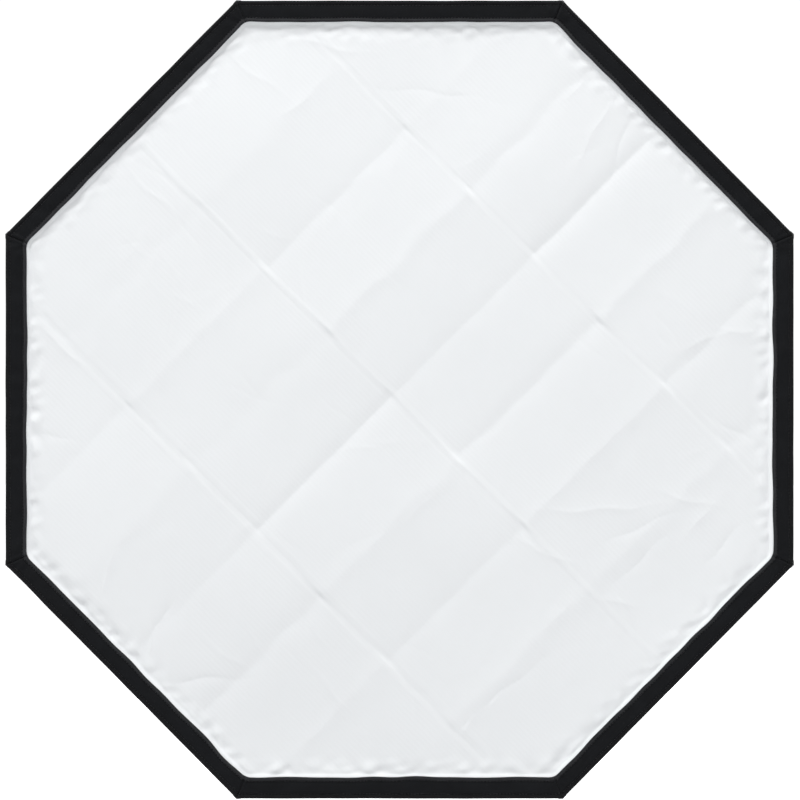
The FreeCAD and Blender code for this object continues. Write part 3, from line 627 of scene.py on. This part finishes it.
LONE_CREASES = [  # picture x, y, length, degrees anticlockwise from the x axis, height
    (598, 510, 120, 3, 0.30), (690, 500, 70, -14, 0.26), (640, 527, 90, 24, -0.26),
    (700, 520, 60, 52, 0.34), (722, 545, 60, 48, -0.30), (545, 553, 70, -24, 0.26),
    (618, 603, 40, -8, 0.30), (640, 560, 90, 44, -0.24), (505, 690, 110, 40, -0.26),
    (430, 500, 130, 42, 0.12), (150, 190, 80, -42, 0.20), (165, 178, 70, -36, -0.16),
    (108, 570, 60, 70, 0.24), (160, 620, 70, 60, -0.30), (150, 640, 60, 82, 0.28),
    (195, 680, 100, 4, -0.34), (225, 655, 60, -35, 0.16), (330, 690, 60, -48, 0.2),
    (600, 120, 110, 62, 0.28), (625, 130, 90, 70, -0.3), (585, 80, 70, 40, 0.2),
    (705, 340, 60, 20, 0.24), (740, 330, 50, -5, 0.3), (735, 430, 60, -30, -0.2),
    (60, 345, 90, -40, 0.2), (55, 435, 40, -15, -0.22), (640, 700, 110, 36, -0.3),
    (590, 730, 80, 20, 0.26), (480, 715, 90, 46, 0.24), (330, 45, 80, -12, 0.22),
    (430, 90, 150, -6, -0.16), (250, 70, 90, -35, 0.2), (300, 100, 80, 40, 0.16),
]
billow = Noise(21, 0.25, 0.6)
swell = Noise(22, 0.10, 0.22)
pucker = Noise(23, 0.016, 0.045)
wander = Noise(26, 60, 190, dims=1)


def random_creases(count):
    """Short light creases, mostly along the two fold directions, as handling leaves them."""
    rng = np.random.default_rng(27)
    made = []
    for _ in range(count):
        r, t = 330 * math.sqrt(rng.random()), rng.uniform(0, 2 * math.pi)
        angle = rng.choice([45, 45, -45, rng.uniform(-90, 90)]) + rng.normal(0, 14)
        height = rng.choice([-1, 1]) * rng.uniform(0.03, 0.11)
        made.append((400 + r * math.cos(t), 400 + r * math.sin(t), rng.uniform(14, 70), angle, height))
    return made


def side_distance(x, z, apothem, corner):
    """Distance inside an octagon with rounded corners; negative outside."""
    angle = np.arctan2(z, x)
    phi = angle % (2 * TURN) - TURN
    return (ring_radius(apothem, phi, corner) - np.hypot(x, z)) * np.cos(TURN - np.abs(phi))


def diffuser_height(x, z):
    """Height of the cloth towards the light's front, in millimetres."""
    px = x / PIXEL + CENTRE
    py = CENTRE - z / PIXEL * TALLER
    s, w = px + py, py - px
    h = 1.0 * billow(x, z) + 0.16 * swell(x, z)
    for at, heights, waves in FORE_CREASES:
        d = (s - at + waves * wander(w + 3 * at)) / math.sqrt(2)
        height = 0 * d
        for low, high, value in zip(BANDS, BANDS[1:], heights):
            height = height + value * smooth(w, low - 3, low + 3) * (1 - smooth(w, high - 3, high + 3))
        sharp = 1.0 + waves
        h = h + height * FORE_HEIGHT * np.exp((sharp - np.sqrt(d**2 + sharp**2)) / 8.5)
    for at, start, end, (above, middle, below), reach in BACK_CREASES:
        inside = smooth(px, start - 3, start + 3) * (1 - smooth(px, end - 5, end + 5))
        d = (w - at) / math.sqrt(2) + 0.5 * wander(s + at)
        h = h + inside * (middle * hump(d, reach) + above * hump(d + 2 * reach, reach * 0.6))
        h = h + inside * (below * hump(d - 1.7 * reach, reach * 0.6) + 0.05 * hump(d + 1, 1.0))
    for cx, cy, length, degrees, height in LONE_CREASES + random_creases(110):
        c, q = math.cos(math.radians(degrees)), math.sin(math.radians(degrees))
        along = (px - cx) * c - (py - cy) * q
        near = np.abs(along) < length
        across = (px - cx)[near] * q + (py - cy)[near] * c
        t = along[near]
        across = across + 1.6 * np.sin(t / 9.0 + cx) + t * t * 0.0007 * np.sign(height)
        width = 1.6 + 9 * abs(height)
        rise = LONE_HEIGHT * height * hump(t, length * 0.42) * np.exp(-np.abs(across) / width)
        h[near] += rise * (1 + 0.6 * (across > 0))
    return h


def diffuser_depth(x, z):
    """How far behind the lip the cloth lies, in metres."""
    edge = side_distance(x, z, APOTHEM - LIP_WIDTH - 0.0014, 0.020)
    inside = smooth(edge, 0.004, 0.03)
    h = diffuser_height(x, z) * 1e-3 * inside
    h = h + 0.0008 * pucker(x, z) * hump(edge - 0.007, 0.016) * smooth(edge, 0.002, 0.009)
    floor = RECESS * smooth(edge, 0.0, RIM) ** 0.9
    return floor - h


def make_diffuser():
    """The white front cloth, on a mesh turned 45 degrees so that its rows follow the creases."""
    n = int(MESH_REACH / MESH_STEP)
    u = np.arange(-n, n + 1) * MESH_STEP
    a, b = np.meshgrid(u, u, indexing="ij")
    x, z = (a - b) / math.sqrt(2), (a + b) / math.sqrt(2)
    keep = side_distance(x, z, MESH_REACH, 0.01) > 0
    y = DIFFUSER_FRONT + diffuser_depth(x, z)
    number = np.cumsum(keep.ravel()).reshape(keep.shape) - 1
    whole = keep[:-1, :-1] & keep[1:, :-1] & keep[1:, 1:] & keep[:-1, 1:]
    quads = np.stack([number[:-1, :-1], number[:-1, 1:], number[1:, 1:], number[1:, :-1]], -1)[whole]
    points = np.stack([x, y, z], -1)[keep]
    used = np.unique(quads)
    again = np.full(number.max() + 1, -1)
    again[used] = np.arange(len(used))
    sheet = Piece("diffuser_sheet")
    cloth = points[used][:, [0, 2]]
    sheet.add(points[used], again[quads], cloth, DIFFUSER)
    made = sheet.make("diffuser", ["front_diffuser"])
    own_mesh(made)
    return made


# ---------------------------------------------------------------- the cover
FRONT_EDGE = LIP_Y + 0.0021
CHORD = np.array([APOTHEM - REAR_APOTHEM, FRONT_EDGE - REAR_Y])
CHORD_LENGTH = float(np.hypot(*CHORD))
BEND = CHORD_LENGTH**2 / 8 / BOW + BOW / 2
HALF_ANGLE = math.asin(CHORD_LENGTH / 2 / BEND)
ALONG = CHORD / CHORD_LENGTH
OUTWARD = np.array([-ALONG[1], ALONG[0]])
COVER_CORNER, COVER_SAG = 0.008, 0.0065
COVER_FOLDS = ((0.34, 0.8), (0.67, -0.7))  # share of the way to the lip, and sharpness
GORE_LENGTH = 0.66  # cloth from the ring to the lip, in metres
cover_swell = Noise(31, 0.12, 0.4, dims=3)
cover_crush = Noise(32, 0.03, 0.1, dims=3)
where_crushed = Noise(33, 0.15, 0.4, dims=3)


def cover_arc(s):
    """Apothem and depth of the cover's mid-side line, from 0 at the rear to 1 at the front."""
    turn = (2 * np.asarray(s, float) - 1) * HALF_ANGLE
    middle = np.array([REAR_APOTHEM, REAR_Y]) + CHORD / 2 - OUTWARD * (BEND - BOW)
    place = middle + BEND * (np.sin(turn)[..., None] * ALONG + np.cos(turn)[..., None] * OUTWARD)
    return place[..., 0], place[..., 1]


def cover_point(a, s, phi, lift):
    """A point on the cover near one rib; lift is along the cloth's outward side, in metres."""
    apothem, depth = cover_arc(s)
    ahead, deeper = cover_arc(np.asarray(s) + 1e-4)
    steep = np.arctan2(-(deeper - depth), ahead - apothem)
    out_r, out_y = np.sin(steep), np.cos(steep)
    r = ring_radius(apothem, phi, np.minimum(COVER_CORNER, apothem * 0.2))
    x, z = r * np.cos(a + phi), r * np.sin(a + phi)
    free = np.sin(math.pi * np.clip(s, 0, 1))
    across = np.clip(1 - np.abs(phi) / TURN, 0, 1)
    sag = -COVER_SAG * free * (1 - across**2) ** 2
    rear = np.clip(1 - s, 0, 1) ** 3
    side = r * np.sin(np.abs(phi))
    lift = lift + sag + free**0.5 * (0.0030 * cover_swell(x, depth, z))
    some = smooth(where_crushed(x, depth, z), 0.2, 1.6)
    lift = lift + free**0.5 * 0.0011 * some * cover_crush(x, depth, z)
    lift = lift + 0.0014 * rear * np.sin(side / 0.0075) * smooth(side, 0.006, 0.02) * (s > 0.01)
    corner_out = np.hypot((1 - s) * CHORD_LENGTH, side)
    fan = np.degrees(np.arctan2(side, (1 - s) * CHORD_LENGTH + 0.004))
    draws = hump(fan - 22, 5) + 0.8 * hump(fan - 43, 6) + 0.6 * hump(fan - 64, 6)
    lift = lift + 0.0030 * draws * hump(corner_out, 0.13) * smooth(1 - s, 0.0, 0.03)
    for at, sharp in COVER_FOLDS:
        lift = lift + sharp * 0.0016 * np.exp(-np.abs(s - at) * CHORD_LENGTH / 0.009)
    seam = 0.0018 * smooth(0.0075 - side, 0, 0.0018) + 0.0012 * hump(side, 0.0016)
    lift = lift + seam - 0.0006 * hump(side - 0.0095, 0.003) * free**0.3
    panel = np.where(phi < 0, a - TURN, a + TURN)
    bearing = panel * smooth(side, 0.0, 0.006) + a * (1 - smooth(side, 0.0, 0.006))
    x = x + lift * out_r * np.cos(bearing)
    z = z + lift * out_r * np.sin(bearing)
    return np.stack([x, depth + lift * out_y, z], -1)


def cover_grid(a, s, phi):
    phi_grid, s_grid = np.meshgrid(phi, s, indexing="xy")
    return cover_point(a, s_grid, phi_grid, np.zeros(s_grid.shape))


CLOTH_THICK = 0.0009
RIM_ROW = 0.004  # the mesh row beside each end of a strip, as a share of the way
GORE_ENDS = (0.0, 0.05, 0.1, 0.16, 0.23, 0.31, 0.4, 0.5, 0.61, 0.73, 0.86, 1.0)
FOLD = math.radians(next(j["range_deg"][1] for j in frame["joints"] if j["name"] == "rib_1_fold"))
HINGE_RADIUS, HINGE_DEPTH = 0.086, -0.014


def folded_width(s):
    """The share of its open width that the cover has at s once the ribs are folded."""
    apothem, depth = cover_arc(s)
    out, back = apothem * math.cos(TURN) - HINGE_RADIUS, depth - HINGE_DEPTH
    radius = HINGE_RADIUS + out * math.cos(FOLD) + back * math.sin(FOLD)
    return float(np.clip(math.tan(TURN) * radius / (apothem * math.sin(TURN)), 0.1, 1))


def make_gore(k, letter, start, end):
    """One strip of the cover on rib k, from start to end as shares of the way to the lip."""
    a = azimuth(k)
    s = np.linspace(start, end, 4 + int((end - start) * 84))
    s = np.unique(np.clip(np.concatenate([s, [start + RIM_ROW, end - RIM_ROW]]), 0, 1))
    near = np.array([0, 1.2, 2.4, 3.6, 5.0, 6.4, 7.6, 9, 11, 13.5, 17, 22, 28, 36])
    phi = columns_from(near / TIP_RADIUS_MM, TURN, 22)
    past = phi[-1] + (phi[-1] - phi[-2])
    columns = np.concatenate([[-past], phi, [past]])
    beyond = np.concatenate([[s[0] - RIM_ROW], s, [s[-1] + RIM_ROW]])
    outer = cover_grid(a, beyond, columns)
    normals = -grid_normals(outer)[1:-1, 1:-1]
    outer = outer[1:-1, 1:-1]
    if (normals[2, 5] * (outer[2, 5] - np.array([0, -0.5, 0]))).sum() < 0:
        normals = -normals
    inner = outer - normals * CLOTH_THICK
    apothem, _ = cover_arc(s)
    cloth = np.stack(
        [np.tan(phi)[None, :] * apothem[:, None], np.repeat((s * GORE_LENGTH)[:, None], len(phi), 1)], -1
    )
    gore = Piece(f"gore_{k}_{letter}")
    gore.shell(outer, inner, cloth, OUTSIDE, LINING, PIPING, normals)
    middle = len(phi) // 2
    for column in (middle - 5, middle + 5):
        gore.stitches(outer[:, column], normals[:, column], 0.004, 0.0016, 0.0005)
    if end == 1.0:
        gore.stitches(outer[-4], normals[-4], 0.004, 0.0016, 0.0005)
    made = gore.make(f"rib_{k}", [f"cover_gore_{k}"])
    return made


def make_patch(k):
    """The stitched corner patch that makes the pocket for the rib's tip."""
    a = azimuth(k)
    u = np.linspace(-1, 1, 33)
    v = np.linspace(0, 1, 15)
    uu, vv = np.meshgrid(u, v, indexing="xy")
    s = 0.984 - 0.115 * (1 - vv) * (1 - 0.55 * np.abs(uu) ** 1.6)
    half = 0.052 * (0.45 + 0.55 * vv)
    apothem, _ = cover_arc(s)
    phi = np.arctan(uu * half / apothem)
    outer = cover_point(a, s, phi, np.full(s.shape, 0.0016))
    under = cover_point(a, s, phi, np.full(s.shape, 0.0003))
    cloth = np.stack([uu * half, vv * 0.076], -1)
    patch = Piece(f"corner_patch_{k}")
    normals = grid_normals(outer)
    if (normals[7, 5] * np.array([math.cos(a), 0.4, math.sin(a)])).sum() < 0:
        normals = -normals
    patch.shell(outer, under, cloth, PATCH, PATCH)
    ring = [*[(1, c) for c in range(2, 31)], *[(r, 30) for r in range(2, 13)]]
    ring += [*[(13, c) for c in range(30, 1, -1)], *[(r, 2) for r in range(12, 0, -1)]]
    rows, columns = zip(*ring)
    patch.stitches(outer[rows, columns], normals[rows, columns], 0.003, 0.0014, 0.0005)
    for turn in (4, -4):
        line = [(r, 16 + turn) for r in range(2, 13)]
        rows, columns = zip(*line)
        patch.stitches(outer[rows, columns], normals[rows, columns], 0.003, 0.0014, 0.0005)
    made = patch.make(f"rib_{k}")
    return made


# ---------------------------------------------------------------- baffle, its straps, and the collar
sag_baffle = Noise(41, 0.15, 0.4)
small_baffle = Noise(42, 0.03, 0.09)
def make_baffle():
    """The thin inner cloth: it hangs between its eight corners, with a turned hem."""
    apothem = BAFFLE_APOTHEM
    rings = np.concatenate([np.linspace(0.0, 0.93, 48), np.array([0.945, 0.955, 0.965, 0.985, 1.0])])
    angle = np.linspace(0, 2 * math.pi, 256, endpoint=False)
    rr, aa = np.meshgrid(rings, angle, indexing="ij")
    phi = (aa + math.pi * 2) % (2 * TURN) - TURN
    r = np.maximum(rr, 1e-4) * ring_radius(apothem, phi, 0.012)
    inward = 0.006 * np.cos(phi * 4) ** 2 * (rr > 0.5) * rr
    r = r - inward * (np.abs(phi) > 0.02)
    x, z = r * np.cos(aa), r * np.sin(aa)
    y = BAFFLE_Y + 0.0035 * sag_baffle(x, z) * (1 - rr**4) + 0.0006 * small_baffle(x, z)
    hem = (rr > 0.935) * (rr < 0.998)
    cloth = np.stack([x, z], -1)
    sheet = Piece("baffle_sheet")
    front = np.stack([x, y - 0.0004 - 0.0007 * hem, z], -1)
    back = np.stack([x, y + 0.0001 + 0.0007 * hem, z], -1)
    cut = 50
    sheet.grid(front[:cut], cloth[:cut], BAFFLE, wrap=True, flip=True)
    sheet.grid(front[cut - 1 :], cloth[cut - 1 :], WHITE_HEM, wrap=True, flip=True)
    sheet.grid(back[:cut], cloth[:cut], BAFFLE, wrap=True)
    sheet.grid(back[cut - 1 :], cloth[cut - 1 :], WHITE_HEM, wrap=True)
    edge = np.stack([front[-1], back[-1]])
    sheet.grid(edge, np.stack([cloth[-1]] * 2), WHITE_HEM, wrap=True, flip=True)
    made = sheet.make("baffle", ["inner_baffle"], tall=False)
    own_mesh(made)
    return made


def make_straps():
    """Eight elastic straps reaching out towards their ribs, each with a stitched box at the baffle."""
    low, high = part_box("baffle_straps")
    reach = high.x / math.cos(TURN)
    straps = Piece("baffle_webbing")
    corner = BAFFLE_APOTHEM / math.cos(TURN)
    for k in RIBS:
        a = azimuth(k)
        e, t = radial(a), tangent(a)
        outer = min(reach, corner + 0.089)
        along = np.linspace(corner - 0.018, outer, 40)
        across = np.array([-10, -9.2, -6, -3, 0, 3, 6, 9.2, 10]) * 1e-3
        rr, tt = np.meshgrid(along, across, indexing="ij")
        free = smooth(rr, corner, corner + 0.02)
        ripple = 0.0005 * np.sin(rr / 0.0021) * free
        narrow = 1 - 0.12 * np.sin(math.pi * np.clip((rr - corner) / (outer - corner), 0, 1))
        thick = 0.0006 - 0.0003 * (np.abs(tt) > 0.0095)
        y = BAFFLE_Y - 0.0012 + 0.0012 * free + ripple
        base = rr[..., None] * e + (tt * narrow)[..., None] * t
        front = base + np.array([0, 1, 0]) * (y - thick)[..., None]
        back = base + np.array([0, 1, 0]) * (y + thick)[..., None]
        cloth = np.stack([rr, tt], -1)
        straps.shell(front, back, cloth, ELASTIC, ELASTIC)
        up = np.array([0, -1.0, 0])
        box = [(2, 1), (2, 7), (8, 7), (8, 1), (2, 1), (8, 7)]
        path = np.concatenate([np.linspace(front[p], front[q], 12) for p, q in zip(box, box[1:])])
        straps.stitches(path, np.repeat(up[None], len(path), 0), 0.0028, 0.0012, 0.0005, WHITE_HEM)
    made = straps.make("baffle", ["baffle_straps"], tall=False)
    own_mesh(made)
    return made


def make_tape():
    """The hook tape sewn round the diffuser's edge, with a woven selvedge on both sides."""
    low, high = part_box("diffuser_hook_tape")
    outer = high.x
    inner = outer - 0.022
    phi = np.linspace(-TURN, TURN, 33)[:-1]
    angle = np.concatenate([phi + azimuth(k) for k in RIBS])
    phi = np.tile(phi, 8)
    across = np.array([0, 0.0006, 0.0018, 0.0022, 0.011, 0.0198, 0.0202, 0.0214, 0.022])
    tall = np.array([0, 0.45, 0.5, 1, 1, 1, 0.5, 0.45, 0]) * (high.y - low.y)
    r = ring_radius(inner + across[:, None], np.repeat(phi[None], 9, 0), 0.006)
    x, z = r * np.cos(angle), r * np.sin(angle)
    front = np.stack([x, high.y - np.repeat(tall[:, None], len(phi), 1), z], -1)
    back = np.stack([x, np.full(x.shape, high.y), z], -1)
    cloth = np.stack([x, z], -1)
    tape = Piece("hook_tape_ring")
    tape.grid(front, cloth, CAD_LOOKS["diffuser_hook_tape"], wrap=True, flip=True)
    tape.grid(back, cloth, PIPING, wrap=True)
    made = tape.make("diffuser", ["diffuser_hook_tape"])
    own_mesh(made)


def make_collar():
    """The cloth collar, drawn round the housing by a bound draw-tape."""
    low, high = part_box("rear_collar")
    inside = 0.0984
    turn = np.linspace(0, 2 * math.pi, 361)[:-1]
    profile = [
        (0.0, low.y), (0.9, low.y - 0.0004), (1.9, low.y + 0.0004), (2.0, low.y + 0.0018),
        (1.2, low.y + 0.0024), (1.5, low.y + 0.0034), (2.3, low.y + 0.0044), (2.5, low.y + 0.006),
        (2.3, low.y + 0.0074), (1.3, high.y - 0.0018), (1.0, high.y - 0.001), (0.9, high.y),
        (0.0, high.y), (0.0, (low.y + high.y) / 2), (0.0, low.y),
    ]
    rise = np.array([p[0] for p in profile]) * 1e-3
    depth = np.array([p[1] for p in profile])
    tt, ii = np.meshgrid(turn, np.arange(len(profile)), indexing="xy")
    gather = 0.00035 * np.sin(tt * 97 + 2 * np.sin(tt * 5)) + 0.0002 * np.sin(tt * 41)
    r = inside + rise[ii] + gather * (rise[ii] > 0.0008)
    points = np.stack([r * np.cos(tt), depth[ii], r * np.sin(tt)], -1)
    length = np.concatenate([[0], np.cumsum(np.hypot(np.diff(rise), np.diff(depth)))])
    cloth = np.stack([tt * inside, length[ii]], -1)
    collar = Piece("collar_cloth")
    collar.grid(points, cloth, PIPING, wrap=True)
    for row in (3, 9):
        ring = np.concatenate([points[row], points[row][:1]])
        up = ring * np.array([1, 0, 1])
        collar.stitches(ring, up / np.linalg.norm(up, axis=1)[:, None], 0.0032, 0.0014, 0.0004)
    made = collar.make("speedring", ["rear_collar"], tall=False)
    return made


# ---------------------------------------------------------------- putting it together
LIP_SHARE, PATCH_SHARE, PATCH_PLACE = 0.9, 0.96, 0.93
for k in RIBS:
    folding = []
    for letter, start, end in zip("abcdefghijk", GORE_ENDS, GORE_ENDS[1:]):
        folding.append((make_gore(k, letter, start, end), folded_width(start)))
    folding.append((make_lip(k), LIP_SHARE * folded_width(1.0)))
    folding.append((make_patch(k), PATCH_SHARE * folded_width(PATCH_PLACE)))
    for made, keep in folding:
        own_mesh(made)
make_diffuser()
make_tape()
make_baffle()
make_straps()
make_collar()

for name, node in frame["nodes"].items():
    looks = [m for start, m in CAD_LOOKS.items() if name.startswith(start)]
    if looks:
        node.data.materials.clear()
        node.data.materials.append(looks[0])
        node.data.polygons.foreach_set("material_index", [0] * len(node.data.polygons))


# ---------------------------------------------------------------- floor, light and camera
def make_floor():
    size, level = 40.0, -0.78
    mesh = bpy.data.meshes.new("floor")
    edge = size / 2
    corners = [(-edge, -edge, level), (edge, -edge, level), (edge, edge, level), (-edge, edge, level)]
    mesh.from_pydata(corners, [], [(0, 1, 2, 3)])
    floor = bpy.data.objects.new("floor", mesh)
    bpy.context.scene.collection.objects.link(floor)
    pale = Finish("pale_floor", (0.58, 0.58, 0.59), 0.8, Specular_IOR_Level=0.1)
    pale.tint(pale.spread(pale.noise(0.5), 0.3, 0.7, 0, 0.5), (0.55, 0.55, 0.56))
    pale.surface.inputs["Emission Color"].default_value = (1, 1, 1, 1)
    parts = pale.node("ShaderNodeSeparateXYZ", Vector=pale.coordinates.outputs["Object"])
    glow = pale.spread(parts.outputs["Y"], 0.1, 1.1, 0.05, 0.75)
    pale.tree.links.new(glow, pale.surface.inputs["Emission Strength"])
    mesh.materials.append(pale.material)


def make_world():
    """Pale all round, brighter behind the softbox and a little brighter above it."""
    world = bpy.data.worlds.new("studio")
    bpy.context.scene.world = world
    world.use_nodes = True
    tree = world.node_tree
    place = tree.nodes.new("ShaderNodeTexCoord")
    parts = tree.nodes.new("ShaderNodeSeparateXYZ")
    tree.links.new(place.outputs["Generated"], parts.inputs[0])
    both = tree.nodes.new("ShaderNodeMath")
    both.operation = "ADD"
    ranges = {"Y": (-0.8, 0.75, 0.35, 1.04), "Z": (0.0, 1.0, 0.0, 0.15)}
    for term, (axis, numbers) in zip(both.inputs, ranges.items()):
        made = tree.nodes.new("ShaderNodeMapRange")
        for name, number in zip(("From Min", "From Max", "To Min", "To Max"), numbers):
            made.inputs[name].default_value = number
        tree.links.new(parts.outputs[axis], made.inputs["Value"])
        tree.links.new(made.outputs[0], term)
    back = tree.nodes["Background"]
    tree.links.new(both.outputs[0], back.inputs["Color"])
    back.inputs["Strength"].default_value = 1.0


def make_light(name, place, aim, size, power, colour=(1, 1, 1)):
    data = bpy.data.lights.new(name, "AREA")
    data.shape = "RECTANGLE"
    data.size, data.size_y = size
    data.energy = power
    data.color = colour
    light = bpy.data.objects.new(name, data)
    light.location = place
    light.rotation_euler = (Vector(aim) - Vector(place)).to_track_quat("-Z", "Y").to_euler()
    bpy.context.scene.collection.objects.link(light)


make_floor()
make_world()
make_light("top_light", (-0.9, -2.6, 5.0), (0, -0.4, 0), (2.6, 1.8), 249)
make_light("back_light", (1.2, 2.0, 2.2), (0, -0.1, 0), (0.9, 0.7), 105)

view = bpy.context.scene
view.view_settings.view_transform = "Standard"
view.view_settings.look = "None"
camera_data = bpy.data.cameras.new("camera")
camera_data.sensor_width = 36
camera_data.lens = 120
DISTANCE = PICTURE * PIXEL * camera_data.lens / camera_data.sensor_width
camera = bpy.data.objects.new("camera", camera_data)
offset = (PICTURE / 2 - CENTRE) * PIXEL
camera.location = (offset, LIP_Y - DISTANCE, -offset)
camera.rotation_euler = (math.pi / 2, 0, 0)
camera_data.clip_start, camera_data.clip_end = 0.05, 200
bpy.context.scene.collection.objects.link(camera)
bpy.context.scene.camera = camera
